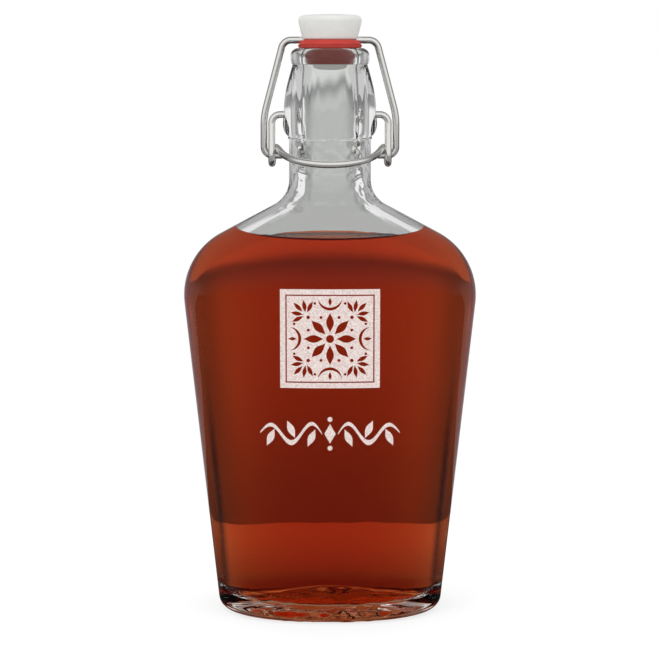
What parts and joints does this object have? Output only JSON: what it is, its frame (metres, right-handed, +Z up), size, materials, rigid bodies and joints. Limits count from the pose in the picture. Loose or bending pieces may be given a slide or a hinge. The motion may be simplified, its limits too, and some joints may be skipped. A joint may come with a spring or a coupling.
{
  "type": "swing-top glass flask",
  "caption": "Flat oval clear glass flask with sloping shoulders, a swollen neck finish and a wire swing-top stopper, filled with amber liquid.",
  "frame": {"origin": "middle of the base, on the surface that the flask stands on", "axes": "+Z up along the flask, +X to the right along its width, -Y out of its broad front, where the lever's bow lies"},
  "size_m": [0.0902, 0.049, 0.184],
  "materials": {
    "clear_glass": "polished",
    "amber_liquid": "polished",
    "white_plastic": "satin",
    "red_rubber": "satin",
    "bright_steel": "gloss"
  },
  "bodies": {
    "flask": {"flask_body": "clear_glass", "liquid_fill": "amber_liquid"},
    "lever": {"lever_wire": "bright_steel"},
    "bail": {"bail_wire": "bright_steel"},
    "closure": {"stopper": "white_plastic", "seal_washer": "red_rubber"}
  },
  "joints": [
    {"name": "lever_hinge", "type": "hinge", "parent": "flask", "child": "lever", "pos_m": [0, 0, 0.1537], "axis": [1, 0, 0], "range_deg": [-90, 0]},
    {"name": "bail_hinge", "type": "hinge", "parent": "lever", "child": "bail", "pos_m": [0, 0.0006, 0.14125], "axis": [1, 0, 0], "range_deg": [0, 60]},
    {"name": "stopper_hinge", "type": "hinge", "parent": "bail", "child": "closure", "pos_m": [0, 0, 0.1762], "axis": [1, 0, 0], "range_deg": [0, 30]}
  ],
  "couplings": [
    {"joint": "bail_hinge", "follows": "lever_hinge", "ratio": -0.66667},
    {"joint": "stopper_hinge", "follows": "lever_hinge", "ratio": -0.33333}
  ]
}
